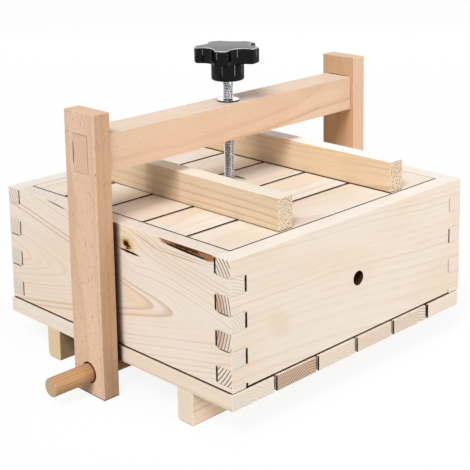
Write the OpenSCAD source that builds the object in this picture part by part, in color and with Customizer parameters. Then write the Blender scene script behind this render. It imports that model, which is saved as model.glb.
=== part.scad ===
// Wooden tofu press: a finger-jointed mould box on a slatted floor, a slatted lid,
// and a bar frame pinned under the floor whose screw presses the lid down.
// Millimetres, +Z up. The origin is on the table, under the middle of the floor
// and of the press frame. The long front wall faces -Y.

/* [Mould box] */
// Outside length of the mould box, along X
box_l = 250; // [200:5:320]
// Outside depth of the mould box, along Y
box_w = 242; // [200:2:300]
// Height of the mould box walls
box_h = 90; // [88:1:98]
// Thickness of the wall boards
wall_t = 13; // [10:0.5:15]
// Height of one finger of the corner joints
finger_h = 12.3; // [11.8:0.1:12.6]
// Radius of the drain hole in the front wall
drain_r = 5.3; // [4:0.1:7]
// Height of the drain hole above the floor
drain_up = 43.4; // [30:0.1:60]
// Drain hole's distance from the middle of the front wall
drain_x = 2; // [-20:0.5:20]

/* [Floor] */
// How much shorter than the box the floor is, along X
floor_short = 2; // [0:0.5:5]
// How much deeper than the box the floor is, along Y
floor_ledge = 2; // [1:0.5:6]
// Thickness of the floor slats
floor_t = 11; // [9:0.5:13]
// Gap between two floor slats
floor_gap = 2; // [1:0.1:3]
// Width of a batten under the floor
batten_w = 15; // [12:0.5:20]
// Height of a batten, table to floor slats
batten_h = 23.5; // [21:0.5:28]

/* [Lid] */
// Thickness of the lid slats
lid_t = 11; // [9:0.5:13]
// How much narrower than the others the two slats at the lid's edges are
lid_trim = 3.3; // [0:0.1:6]
// Gap between two lid slats
lid_gap = 2; // [1:0.1:3]
// Clearance between the lid and the box walls
lid_clear = 0.8; // [0.5:0.1:1]
// Width of a lid cleat
cleat_w = 14; // [12:0.5:16]
// Height of a lid cleat
cleat_h = 23.3; // [20:0.1:26]

/* [Press frame] */
// Clearance between the mould box and each upright
frame_clear = 4; // [3:0.25:8]
// Thickness of an upright, along X
post_t = 13.5; // [12:0.5:16]
// Width of an upright, along Y
post_w = 33; // [30:1:38]
// Height of the uprights above the crossbar
post_above = 16; // [6:1:16]
// Width of the crossbar, along Y
bar_w = 26.5; // [24:0.5:29]
// Height of the crossbar
bar_h = 27; // [24:1:30]
// Height of the crossbar's underside above the floor
bar_up = 127.5; // [126:0.5:130]
// Width of the crossbar's through tenons
tenon_w = 16; // [14:1:18]
// Radius of the dowel that locks the frame under the floor
dowel_r = 6.75; // [6:0.05:7.25]
// Clearance between the dowel and its holes
dowel_clear = 0.7; // [0.4:0.1:1]
// Length of the dowel that stands out beyond each upright
dowel_out = 33.5; // [15:0.5:45]

/* [Screw] */
// Radius of the threaded rod
rod_r = 4; // [3.5:0.1:4.5]
// Radius of the knob's lobes
knob_r = 25; // [23:0.5:28]
// Height of the knob's star head
head_h = 11.5; // [8:0.5:13]
// Radius of the knob's hub
hub_r = 12.5; // [10.5:0.5:14]
// Height of the knob's hub
hub_h = 14; // [12:0.5:18]
// Distance from the crossbar up to the knob's hub
hub_up = 16.5; // [10:0.5:20]

/* [Hidden] */
$fn = 96;
// the box stands a little to the right of the frame and behind the floor's middle
box_x = 2.5;
box_y = 0.5;
floor_z = batten_h + floor_t;
rim_z = floor_z + box_h;
fingers = 7;
last_h = box_h - fingers * finger_h;
drain_clear = 1;

floor_l = box_l - floor_short;
floor_w = box_w + floor_ledge;
floor_slats = 6;
// the last floor slat is trimmed by this much
floor_trim = 1.1;
floor_slat_w = (floor_l + floor_trim - (floor_slats - 1) * floor_gap) / floor_slats;
floor_pitch = floor_slat_w + floor_gap;
floor_last_w = floor_slat_w - floor_trim;
batten_front_in = 45;
batten_rear_in = 53;

lid_z = rim_z - lid_t;
lid_l = box_l - 2 * wall_t - 2 * lid_clear;
lid_w = box_w - 2 * wall_t - 2 * lid_clear;
lid_slat_w = (lid_w + 2 * lid_trim - 4 * lid_gap) / 5;
lid_edge_w = lid_slat_w - lid_trim;
cleat_l = lid_w - 3;
cleat_left_in = 68.6;
cleat_right_in = 60.4;

frame_y = 2.5;
frame_in = box_l + 2 * frame_clear;
bar_z = floor_z + bar_up;
bar_top = bar_z + bar_h;
post_x = frame_in / 2 + post_t / 2;
post_h = bar_top + post_above;
bar_l = frame_in + 2 * post_t;
dowel_z = batten_h - 0.3 - dowel_r;
dowel_l = bar_l + 2 * dowel_out;
hole_r = dowel_r + dowel_clear;

insert_r = 5.5;
insert_h = 14;
flange_r = 8.5;
flange_t = 1.2;
thread_clear = 0.05;

hub_z = bar_top + hub_up;
head_z = hub_z + hub_h;
lobes = 5;
lobe_turn = 69.9;
valley_r = 12.3;
valley_at = knob_r + 5.3;
dome_h = 1.2;
stud_in = 12;

pine = [0.87, 0.76, 0.60];
beech = [0.82, 0.62, 0.44];
dowel_wood = [0.76, 0.56, 0.37];
steel = [0.72, 0.73, 0.74];
black = [0.05, 0.05, 0.05];

module block(x, y, z, l, w, h) {
    translate([x - l / 2, y - w / 2, z])
        cube([l, w, h]);
}

// Height of the top of finger level i, counted down from the rim.
function level_z(i) = rim_z - i * finger_h;

// The notches that one end of a long wall leaves for the short wall's fingers.
module long_notches(x) {
    for (i = [1 : 2 : fingers - 2])
        translate([x, 0, level_z(i + 1)])
            cube([wall_t, wall_t, finger_h]);
    translate([x, 0, floor_z])
        cube([wall_t, wall_t, last_h]);
}

module long_wall(y) {
    translate([box_x - box_l / 2, y, 0])
        difference() {
            translate([0, 0, floor_z])
                cube([box_l, wall_t, box_h]);
            long_notches(0);
            long_notches(box_l - wall_t);
        }
}

module short_wall(x) {
    translate([x, box_y - box_w / 2, 0]) {
        translate([0, wall_t, floor_z])
            cube([wall_t, box_w - 2 * wall_t, box_h]);
        for (y = [0, box_w - wall_t]) {
            for (i = [1 : 2 : fingers - 2])
                translate([0, y, level_z(i + 1)])
                    cube([wall_t, wall_t, finger_h]);
            translate([0, y, floor_z])
                cube([wall_t, wall_t, last_h]);
        }
    }
}

module wall_front() {
    color(pine)
        difference() {
            long_wall(box_y - box_w / 2);
            translate([box_x + drain_x, box_y - box_w / 2 - drain_clear,
                    floor_z + drain_up])
                rotate([-90, 0, 0])
                    cylinder(h = wall_t + 2 * drain_clear, r = drain_r);
        }
}

module wall_back() {
    color(pine)
        long_wall(box_y + box_w / 2 - wall_t);
}

module wall_left() {
    color(pine)
        short_wall(box_x - box_l / 2);
}

module wall_right() {
    color(pine)
        short_wall(box_x + box_l / 2 - wall_t);
}

module floor_slat(i) {
    w = i == floor_slats ? floor_last_w : floor_slat_w;
    color(pine)
        translate([-floor_l / 2 + (i - 1) * floor_pitch, -floor_w / 2, batten_h])
            cube([w, floor_w, floor_t]);
}

module batten(y) {
    color(pine)
        block(0, y, 0, floor_l, batten_w, batten_h);
}

// Lid slats are numbered from the front; the two at the edges are trimmed to fit.
module lid_slat(i) {
    inner = i > 1 && i < 5;
    y = i == 1 ? 0 : lid_edge_w + lid_gap + (i - 2) * (lid_slat_w + lid_gap);
    color(pine)
        translate([box_x - lid_l / 2, box_y - lid_w / 2 + y, lid_z])
            cube([lid_l, inner ? lid_slat_w : lid_edge_w, lid_t]);
}

module cleat(x) {
    color(pine)
        block(x, box_y, rim_z, cleat_w, cleat_l, cleat_h);
}

module upright(side) {
    x = side * post_x;
    color(beech)
        difference() {
            block(x, frame_y, 0, post_t, post_w, post_h);
            block(x, frame_y, bar_z, post_t + 2, tenon_w, bar_h);
            translate([x - post_t, frame_y, dowel_z])
                rotate([0, 90, 0])
                    cylinder(h = 2 * post_t, r = hole_r);
        }
}

module crossbar() {
    color(beech)
        difference() {
            union() {
                block(0, frame_y, bar_z, frame_in, bar_w, bar_h);
                block(0, frame_y, bar_z, bar_l, tenon_w, bar_h);
            }
            translate([0, frame_y, bar_z - 1])
                cylinder(h = bar_h + 2, r = insert_r);
        }
}

module threaded_insert() {
    color(steel)
        translate([0, frame_y, 0])
            difference() {
                union() {
                    translate([0, 0, bar_top - insert_h])
                        cylinder(h = insert_h, r = insert_r);
                    translate([0, 0, bar_top])
                        cylinder(h = flange_t, r = flange_r);
                }
                translate([0, 0, bar_top - insert_h - 1])
                    cylinder(h = insert_h + flange_t + 2, r = rod_r + thread_clear);
            }
}

module screw_rod() {
    color(steel)
        translate([0, frame_y, rim_z])
            cylinder(h = hub_z + stud_in - rim_z, r = rod_r);
}

module star_knob() {
    color(black)
        translate([0, frame_y, 0])
            difference() {
                union() {
                    translate([0, 0, hub_z])
                        cylinder(h = hub_h, r = hub_r);
                    difference() {
                        translate([0, 0, head_z])
                            cylinder(h = head_h, r = knob_r);
                        for (i = [0 : lobes - 1])
                            rotate([0, 0, lobe_turn + (i + 0.5) * 360 / lobes])
                                translate([valley_at, 0, head_z - 1])
                                    cylinder(h = head_h + 2, r = valley_r);
                    }
                    translate([0, 0, head_z + head_h])
                        cylinder(h = dome_h, r1 = 0.66 * knob_r, r2 = 0.4 * knob_r);
                }
                translate([0, 0, hub_z - 1])
                    cylinder(h = stud_in + 1, r = rod_r);
            }
}

module dowel() {
    color(dowel_wood)
        translate([-dowel_l / 2, frame_y, dowel_z])
            rotate([0, 90, 0])
                cylinder(h = dowel_l, r = dowel_r);
}

wall_front();
wall_back();
wall_left();
wall_right();
floor_slat(1);  // floor_slat_1
floor_slat(2);  // floor_slat_2
floor_slat(3);  // floor_slat_3
floor_slat(4);  // floor_slat_4
floor_slat(5);  // floor_slat_5
floor_slat(6);  // floor_slat_6
batten(-floor_w / 2 + batten_front_in);  // batten_front
batten(floor_w / 2 - batten_rear_in);  // batten_rear
lid_slat(1);  // lid_slat_1
lid_slat(2);  // lid_slat_2
lid_slat(3);  // lid_slat_3
lid_slat(4);  // lid_slat_4
lid_slat(5);  // lid_slat_5
cleat(box_x - box_l / 2 + cleat_left_in);  // cleat_left
cleat(box_x + box_l / 2 - cleat_right_in);  // cleat_right
upright(-1);  // upright_left
upright(1);  // upright_right
crossbar();
threaded_insert();
screw_rod();
star_knob();
dowel();
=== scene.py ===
"""A wooden tofu press: pale pine mould box, floor and lid, a beech bar frame, a
turned dowel under the floor and a zinc screw with a black star knob."""
import logging
import math
from dataclasses import dataclass, replace
from enum import Enum
from typing import Callable, Sequence

import bmesh
import bpy
from mathutils import Matrix, Vector


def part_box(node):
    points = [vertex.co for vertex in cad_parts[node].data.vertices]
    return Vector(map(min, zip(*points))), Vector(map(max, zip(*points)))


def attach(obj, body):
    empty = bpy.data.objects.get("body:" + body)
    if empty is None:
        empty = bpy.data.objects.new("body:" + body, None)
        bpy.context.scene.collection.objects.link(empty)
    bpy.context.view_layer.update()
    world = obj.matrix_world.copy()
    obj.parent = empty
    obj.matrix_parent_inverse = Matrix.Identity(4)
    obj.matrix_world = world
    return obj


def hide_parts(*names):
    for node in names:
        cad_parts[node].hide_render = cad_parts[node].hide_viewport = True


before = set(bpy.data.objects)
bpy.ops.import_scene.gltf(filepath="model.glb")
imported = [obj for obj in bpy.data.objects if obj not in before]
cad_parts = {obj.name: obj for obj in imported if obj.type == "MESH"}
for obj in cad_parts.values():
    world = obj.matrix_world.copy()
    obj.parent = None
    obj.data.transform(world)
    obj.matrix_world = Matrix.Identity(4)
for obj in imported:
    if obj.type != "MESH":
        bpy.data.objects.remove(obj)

logging.basicConfig(level=logging.INFO, format="%(name)s: %(message)s")
LOG = logging.getLogger("tofu_press")
MM = 0.001
# Metres within which two places count as one, and two vertices are merged.
NEAR = 1e-5
WELD = 1e-6
# How far the noise is moved from one seed to the next.
SEED_STEP = 17.3
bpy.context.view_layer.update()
Colour = tuple[float, float, float, float]
Triple = tuple[float, float, float]


class Axis(Enum):
    """A direction of the press: along the front wall, towards the back, upwards."""

    X = 0
    Y = 1
    Z = 2


class Body(Enum):
    """The bodies of the press that move on their own."""

    BASE = "base"
    BOX = "mould_box"
    LID = "lid"
    SCREW = "screw"
    DOWEL = "locking_dowel"


def srgb(red: int, green: int, blue: int) -> Colour:
    """A colour as the eye names it, turned into the light it sends back.

    Args:
        red: 0 to 255.
        green: 0 to 255.
        blue: 0 to 255.

    Returns:
        Linear red, green, blue and an alpha of 1.
    """
    def line(value: float) -> float:
        """One channel made linear."""
        part = value / 255
        return part / 12.92 if part <= 0.04045 else ((part + 0.055) / 1.055) ** 2.4
    return line(red), line(green), line(blue), 1.0


class Sock:
    """A shader value that takes part in Python expressions."""

    def __init__(self, tree: "ShaderTree", link: object) -> None:
        """Keep the tree that the value belongs to and its socket.

        Args:
            tree: the tree that new Math nodes go into.
            link: an output socket.
        """
        self.tree = tree
        self.link = link

    def __add__(self, other: object) -> "Sock":
        """This value plus another."""
        return self.tree.math("ADD", self, other)

    __radd__ = __add__

    def __sub__(self, other: object) -> "Sock":
        """This value less another."""
        return self.tree.math("SUBTRACT", self, other)

    def __rsub__(self, other: object) -> "Sock":
        """Another value less this one."""
        return self.tree.math("SUBTRACT", other, self)

    def __mul__(self, other: object) -> "Sock":
        """This value times another."""
        return self.tree.math("MULTIPLY", self, other)

    __rmul__ = __mul__

    def __truediv__(self, other: object) -> "Sock":
        """This value over another."""
        return self.tree.math("DIVIDE", self, other)

    def __pow__(self, other: object) -> "Sock":
        """This value to a power."""
        return self.tree.math("POWER", self, other)

    def __rtruediv__(self, other: object) -> "Sock":
        """Another value over this one."""
        return self.tree.math("DIVIDE", other, self)

    def __rpow__(self, other: object) -> "Sock":
        """Another value to this power."""
        return self.tree.math("POWER", other, self)

    def __neg__(self) -> "Sock":
        """This value with its sign turned."""
        return self * -1.0


class ShaderTree:
    """The nodes of one material or of the surround, laid down by short calls."""

    def __init__(self, owner: bpy.types.Material | bpy.types.World) -> None:
        """Start with no nodes.

        Args:
            owner: the material or the world that gets them.
        """
        self.owner = owner
        owner.use_nodes = True
        self.nodes = owner.node_tree.nodes
        self.links = owner.node_tree.links
        self.nodes.clear()

    @classmethod
    def material(cls, name: str) -> "ShaderTree":
        """The tree of a new material."""
        return cls(bpy.data.materials.new(name))

    def node(self, kind: str, settings: dict | None = None,
             sockets: dict | None = None) -> bpy.types.Node:
        """Add a node of any type.

        Args:
            kind: the node's type, such as ShaderNodeTexNoise.
            settings: its own settings, set before its sockets; stops fills a ramp.
            sockets: input name or index to a value or a Sock.

        Returns:
            The new node.
        """
        made = self.nodes.new(kind)
        for key, value in (settings or {}).items():
            if key == "stops":
                ramp = made.color_ramp
                while len(ramp.elements) < len(value):
                    ramp.elements.new(0.5)
                for element, (place, colour) in zip(ramp.elements, value):
                    element.position = place
                    element.color = colour
            else:
                setattr(made, key, value)
        for key, value in (sockets or {}).items():
            if isinstance(value, Sock):
                self.links.new(value.link, made.inputs[key])
            else:
                made.inputs[key].default_value = value
        return made

    def out(self, made: bpy.types.Node, key: str | int = 0) -> Sock:
        """One output of a node as a value."""
        return Sock(self, made.outputs[key])

    def math(self, operation: str, *values: object) -> Sock:
        """A Math node.

        Args:
            operation: such as ADD.
            values: numbers or values, in socket order.

        Returns:
            The result.
        """
        return self.out(self.node("ShaderNodeMath", {"operation": operation},
                                  dict(enumerate(values))))

    def step(self, value: object, low: float, high: float) -> Sock:
        """A smooth step, which also falls where low is the larger.

        Args:
            value: what is tested.
            low: where it is still 0.
            high: where it is 1.

        Returns:
            The step, 0 to 1.
        """
        return self.out(self.node(
            "ShaderNodeMapRange", {"interpolation_type": "SMOOTHSTEP"},
            {"Value": value, "From Min": low, "From Max": high}))

    def place(self, across: object, along: object, up: object) -> Sock:
        """A position put together from three values."""
        return self.out(self.node("ShaderNodeCombineXYZ", None,
                                  {0: across, 1: along, 2: up}))

    def noise(self, where: Sock, detail: float = 2.0, rough: float = 0.5,
              scale: float = 1.0) -> Sock:
        """Soft noise.

        Args:
            where: the position.
            detail: how many finer waves are laid over it.
            rough: how strong those are.
            scale: its waves to a metre, or 1 for a position in waves.

        Returns:
            The noise, 0 to 1.
        """
        return self.out(self.node(
            "ShaderNodeTexNoise", {"noise_dimensions": "3D"},
            {"Vector": where, "Scale": scale, "Detail": detail, "Roughness": rough}))

    def blend(self, share: object, first: object, second: object,
              how: str = "MIX") -> Sock:
        """Two colours mixed.

        Args:
            share: how much of the second, 0 to 1.
            first: a colour or a Sock.
            second: a colour or a Sock.
            how: the blend type.

        Returns:
            The colour.
        """
        made = self.node("ShaderNodeMix", {"data_type": "RGBA", "blend_type": how,
                                           "clamp_factor": True})
        for index, value in ((0, share), (6, first), (7, second)):
            if isinstance(value, Sock):
                self.links.new(value.link, made.inputs[index])
            else:
                made.inputs[index].default_value = value
        return self.out(made, 2)

    def coordinates(self, kind: str) -> Sock:
        """The place or the direction of the surface, as Object or Normal."""
        return self.out(self.node("ShaderNodeTexCoord"), kind)

    def apart(self, vector: Sock) -> bpy.types.Node:
        """A vector split into its three numbers."""
        return self.node("ShaderNodeSeparateXYZ", None, {0: vector})

    def openness(self, reach: float, samples: int) -> Sock:
        """1 on open ground and less where something stands within reach, in metres."""
        return self.out(self.node("ShaderNodeAmbientOcclusion", {"samples": samples},
                                  {"Distance": reach}), "AO")

    def bump(self, height: Sock, strength: float, depth: float) -> Sock:
        """The normal of a surface with a fine relief, its depth in metres."""
        return self.out(self.node("ShaderNodeBump", None, {
            "Strength": strength, "Distance": depth, "Height": height}))

    def in_sight(self) -> Sock:
        """What the camera sees, straight, mirrored or through glass.

        Returns:
            1 there, and 0 where the surface only lights its surroundings.
        """
        seen = self.node("ShaderNodeLightPath")
        shown = self.math("MAXIMUM", self.out(seen, "Is Camera Ray"),
                          self.out(seen, "Is Glossy Ray"))
        return self.math("MAXIMUM", shown, self.out(seen, "Is Transmission Ray"))

    def surface(self, sockets: dict) -> bpy.types.Material:
        """Finish the material as one Principled surface with these sockets."""
        return self.finish(self.out(self.node("ShaderNodeBsdfPrincipled", None,
                                              sockets)))

    def finish(self, shader: Sock, end: str = "ShaderNodeOutputMaterial"
               ) -> bpy.types.Material | bpy.types.World:
        """Wire a shader to the output and hand over the material or the world."""
        self.links.new(shader.link, self.node(end).inputs["Surface"])
        return self.owner


@dataclass(frozen=True)
class Mark:
    """A knot, crack, resin streak or painted shade: an oval, in millimetres from the
    board's middle.

    slope turns the oval by millimetres across for each one along. bulge is how many
    growth rings bend round it, and firm is the share of the oval that is at full
    depth. Unless it goes through the board, it shows on the two faces alone. A square
    mark is painted shade: an open joint's slit, or a shadow line. One on the ends is
    measured through the board in place of along it.
    """

    along: float
    across: float
    half_along: float
    half_across: float
    slope: float = 0.0
    tone: Colour = srgb(120, 70, 34)
    depth: float = 1.0
    bulge: float = 0.0
    ragged: float = 0.8
    firm: float = 0.6
    through: bool = False
    square: bool = False
    on_end: bool = False


@dataclass(frozen=True)
class FaceTone:
    """Painted light and shade on the one face of a board that faces one way.

    tone multiplies the board's own, lighter or darker as the light falls on that face,
    and plain is how little grain shows there.
    """

    axis: Axis
    side: int
    tone: Triple
    plain: float = 0.0


@dataclass(frozen=True)
class EndGrain:
    """How a board's sawn ends show its rings.

    depth is how dark they are and ring their width in millimetres. pith is where
    they centre, and heart the radius of the browner wood round it. dots is how
    speckled the end is.
    """

    depth: float = 0.6
    pith: tuple[float, float] | None = None
    ring: float = 2.1
    heart: float = 0.0
    dots: float = 0.0


@dataclass(frozen=True)
class Cut:
    """How a board was sawn from its log.

    grain runs along the fibres and face is the board's thickness. pith is where the
    log's heart lies, in millimetres across and through the board. faces paint light
    and shade on single faces. sheltered is True where the board stands a few
    millimetres behind another, and paints shade on it there. bold lists the rings that
    stand out, by their distance from the heart in millimetres.
    """

    grain: Axis
    face: Axis
    pith: tuple[float, float] = (10.0, -70.0)
    taper: float = 0.02
    seed: float = 1.0
    tint: float = 1.0
    contrast: float = 1.0
    ring: float = 0.0
    wander: float = 0.0
    sparse: float = 1.0
    end: EndGrain = EndGrain()
    marks: tuple[Mark, ...] = ()
    faces: tuple[FaceTone, ...] = ()
    sheltered: bool = False
    bold: tuple[float, ...] = ()

    @property
    def across(self) -> Axis:
        """The direction across the board's face."""
        return next(a for a in Axis if a not in (self.grain, self.face))


@dataclass(frozen=True)
class WoodFinish:
    """Planed bare wood, its colour from growth rings that run through the board."""

    name: str
    early: Colour
    late: Colour
    warm: Colour
    end: Colour
    end_late: Colour
    ring: float = 4.6
    line: float = 0.85
    wander: float = 9.0
    streak: float = 0.07
    fleck: float = 0.0
    fleck_tone: Colour = srgb(158, 104, 70)
    rough: float = 0.6
    relief: float = 0.2
    grain_depth: float = 0.4 * MM
    # Painted shade: seam in hemmed corners, lee_shade behind another board.
    crevice: float = 3.5 * MM
    lee: float = 12.0 * MM
    heart: Colour = srgb(196, 154, 120)
    seam: Colour = srgb(34, 17, 8)
    lee_shade: Colour = srgb(66, 20, 14)

    def dress(self, name: str, middle: Vector, cut: Cut) -> bpy.types.Material:
        """Make one board's own material.

        Args:
            name: the material's name.
            middle: the board's middle, in metres.
            cut: how it was sawn.

        Returns:
            The material.
        """
        return BoardShader(self, name, middle, cut).build()


class BoardShader:
    """One board's shader: where its rings, fibres, ends, flaws and painted shade lie.
    """

    def __init__(self, wood: WoodFinish, name: str, middle: Vector, cut: Cut) -> None:
        """Measure the board from its middle and lay its growth rings through it.

        Args:
            wood: its finish.
            name: the material's name.
            middle: the board's middle, in metres.
            cut: how it was sawn.
        """
        self.wood, self.cut = wood, cut
        self.tree = tree = ShaderTree.material(name)
        spot = tree.apart(tree.coordinates("Object"))
        self.lean = tree.apart(tree.coordinates("Normal"))
        self.along, self.across, self.through = (
            (tree.out(spot, axis.value) - middle[axis.value]) * 1000.0
            for axis in (cut.grain, cut.across, cut.face))
        self.seed = cut.seed * SEED_STEP
        self.ring = cut.ring or wood.ring
        self.on_face = tree.step(self.facing(cut.face), 0.5, 0.7)
        self.sawn = tree.step(self.facing(cut.grain), 0.6, 0.85)
        slow = self.noise(0.0045, 0.012, 2.0, 0.45, (1, 0, 1))
        quick = self.noise(0.03, 0.08, 2.0, 0.5, (1, 0, -1))
        self.sway = slow * ((cut.wander or wood.wander) * 2) + quick * (
            self.ring * 0.22)
        self.radius = self.from_pith(cut.pith) + self.along * cut.taper + self.sway
        self.overlays = [(self.mark_cover(mark), mark.tone) for mark in cut.marks]

    def facing(self, axis: Axis) -> Sock:
        """1 where the surface faces along an axis, either way."""
        return self.tree.math("ABSOLUTE", self.tree.out(self.lean, axis.value))

    def from_pith(self, pith: tuple[float, float]) -> Sock:
        """The distance from the log's heart.

        Args:
            pith: where the heart lies across and through the board, in millimetres.

        Returns:
            The distance in millimetres.
        """
        wide, deep = self.across - pith[0], self.through - pith[1]
        return (wide * wide + deep * deep) ** 0.5

    def noise(self, long: float, wide: float, detail: float, rough: float,
              shift: tuple[int, int, int] = (1, 0, 0),
              deep: float | None = None) -> Sock:
        """Noise drawn out along the fibres.

        Args:
            long: how fast it changes along them, in waves to a millimetre.
            wide: how fast it changes across them.
            detail: how many finer waves are laid over it.
            rough: how strong those are.
            shift: how far each direction is moved by the board's own seed.
            deep: how fast it changes through the board, if not as across.

        Returns:
            The noise, 0 to 1.
        """
        spots = (self.along * long, self.across * wide, self.through * (deep or wide))
        moved = [spot + self.seed * share if share else spot
                 for spot, share in zip(spots, shift)]
        return self.tree.noise(self.tree.place(*moved), detail, rough)

    def mark_cover(self, mark: Mark) -> Sock:
        """How much a mark covers the wood. A knot bends the rings on the way.

        Args:
            mark: the mark.

        Returns:
            Its cover, 0 to 1.
        """
        tree = self.tree
        off = (self.through if mark.on_end else self.along) - mark.along
        side = self.across - mark.across - off * mark.slope
        gap_l, gap_w = off / mark.half_along, side / mark.half_across
        if mark.square:
            gap = tree.math("MAXIMUM", tree.math("ABSOLUTE", gap_l),
                            tree.math("ABSOLUTE", gap_w))
        else:
            gap = (gap_l * gap_l + gap_w * gap_w) ** 0.5
        if mark.bulge:
            self.radius = self.radius - tree.math(
                "EXPONENT", gap * gap * -0.16) * gap_w * (self.ring * mark.bulge)
        if mark.ragged:
            grit = self.noise(0.3, 1.1, 3.0, 0.65, (0, 0, 0), 1.0)
            gap = gap + (grit - 0.5) * mark.ragged
        mask = (1.0 - tree.step(gap, mark.firm, 1.0)) * mark.depth
        if mark.on_end:
            return mask * self.sawn
        return mask if mark.through else mask * self.on_face

    def rings(self) -> Sock:
        """How dark the growth rings are, each with its own strength.

        Returns:
            Their darkness, 0 in the pale wood between two.
        """
        tree, cut = self.tree, self.cut
        radius = self.radius + tree.noise(tree.place(
            self.radius * 0.06, self.seed, 0.0), 1.0, 0.5) * (self.ring * 2.2)
        turn = radius / self.ring
        count = tree.math("FLOOR", turn)
        levels = ((0.0, 0.22), (0.14, 0.0), (0.62, 0.12), (self.wood.line, 0.75),
                  (0.95, 1.0), (1.0, 0.22))
        dark = tree.out(tree.node("ShaderNodeValToRGB", {"stops": [
            (place, (level, level, level, 1)) for place, level in levels]},
            {"Fac": turn - count}))
        rings = tree.out(tree.node("ShaderNodeSeparateColor", None, {0: dark}))
        strength = tree.out(tree.node("ShaderNodeTexWhiteNoise", {
            "noise_dimensions": "1D"}, {"W": count + self.seed}))
        fade = self.noise(0.01, 0.03, 1.0, 0.5, (-1, 1, 0))
        rings = rings * (0.3 / cut.sparse + strength ** cut.sparse * 0.9)
        rings = rings * (0.25 + fade * 1.3)
        for size in cut.bold:
            over = radius - size
            edge = tree.step(over, -2.2, -0.1) * (1.0 - tree.step(over, 0.0, 0.35))
            rings = tree.math("MAXIMUM", rings, edge * 1.2)
        return rings

    def long_grain(self, rings: Sock) -> Sock:
        """The colour along the fibres: cloudy wood, its rings and its flecks.

        Args:
            rings: how dark the growth rings are.

        Returns:
            The colour.
        """
        tree, wood = self.tree, self.wood
        cloud = self.noise(0.009, 0.022, 2.0, 0.5, deep=0.02)
        base = tree.blend(tree.step(cloud, 0.42, 0.66) * 0.7, wood.early, wood.warm)
        grain = tree.blend(rings * self.cut.contrast, base, wood.late)
        if wood.fleck:
            dash = self.noise(0.27, 1.3, 1.0, 0.4)
            dash = tree.step(dash, 0.67, 0.73) * (self.on_face * 0.6 + 0.4) * wood.fleck
            grain = tree.blend(dash, grain, wood.fleck_tone)
        return grain

    def end_grain(self) -> Sock:
        """The colour of the sawn ends, with their pores, rings and browner heart.

        Returns:
            The colour.
        """
        tree, wood, end = self.tree, self.wood, self.cut.end
        pore = self.noise(0.2, 2.4, 2.0, 0.6)
        core = self.from_pith(end.pith or self.cut.pith) + self.sway * (
            0.3 if end.pith else 1.0)
        phase = tree.math("FRACT", core / end.ring)
        rings = (tree.step(phase, 0.58, 0.88) * (1.0 - tree.step(phase, 0.94, 1.0))
                 + (pore - 0.5) * 0.7)
        tone = tree.blend(end.depth * 0.4, wood.early, wood.end)
        if end.heart:
            inner = 1.0 - tree.step(core, end.heart - 5.0, end.heart + 3.0)
            tone = tree.blend(inner * 0.7, tone, wood.heart)
        tone = tree.blend(rings * end.depth, tone, wood.end_late)
        if end.dots:
            speck = self.noise(0.2, 0.95, 2.0, 0.7)
            tone = tree.blend(tree.step(speck, 0.54, 0.62) * end.dots, tone, wood.heart)
        return tone

    def planed(self, tone: Sock) -> Sock:
        """Paint light and shade onto single faces, by the way each one faces.

        Args:
            tone: the board's colour.

        Returns:
            The toned colour.
        """
        tree = self.tree
        for side in self.cut.faces:
            turned = tree.step(tree.out(self.lean, side.axis.value) * float(side.side),
                               0.6, 0.85)
            if side.plain:
                tone = tree.blend(turned * side.plain, tone, self.wood.early)
            tone = tree.blend(turned, tone, (*side.tone, 1.0), "MULTIPLY")
        return tone

    def shaded(self, tone: Sock) -> Sock:
        """Paint shade into the corners, and onto what stands behind another board.

        Args:
            tone: the board's colour.

        Returns:
            The darkened colour.
        """
        tree, wood = self.tree, self.wood
        # Painted shade in the corners, from how hemmed in the surface is.
        corner = tree.openness(wood.crevice, 6)
        tone = tree.blend(1.0 - tree.step(corner, 0.22, 0.6), tone, wood.seam)
        # Painted shade where another board stands close by.
        if self.cut.sheltered:
            behind = tree.openness(wood.lee, 12)
            tone = tree.blend((1.0 - tree.step(behind, 0.42, 0.54)) * 0.96, tone,
                              wood.lee_shade)
        return tone

    def build(self) -> bpy.types.Material:
        """Put the board's colour and relief together.

        Returns:
            The material.
        """
        tree, wood = self.tree, self.wood
        rings = self.rings()
        fibre = self.noise(0.03, 1.5, 3.0, 0.6, (0, 1, 0))
        hair = self.noise(0.13, 5.5, 2.0, 0.6)
        shade = 1.0 + (fibre - 0.5) * wood.streak + (hair - 0.5) * (wood.streak * 0.6)
        shade = shade * self.cut.tint
        tone = self.planed(tree.blend(self.sawn, self.long_grain(rings),
                                      self.end_grain()))
        # The marks laid here include painted shade: open slits, shadow lines, hole
        # shade.
        for cover, colour in self.overlays:
            tone = tree.blend(cover, tone, colour)
        grey = tree.node("ShaderNodeCombineColor", None, {0: shade, 1: shade, 2: shade})
        tone = self.shaded(tree.blend(1.0, tone, tree.out(grey), "MULTIPLY"))
        height = fibre * 0.5 + hair * 0.35 + rings * 0.25
        return tree.surface({
            "Base Color": tone,
            "Roughness": wood.rough + (hair - 0.5) * 0.12 + rings * -0.06,
            "Normal": tree.bump(height, wood.relief, wood.grain_depth),
            "Specular IOR Level": 0.1})


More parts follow.
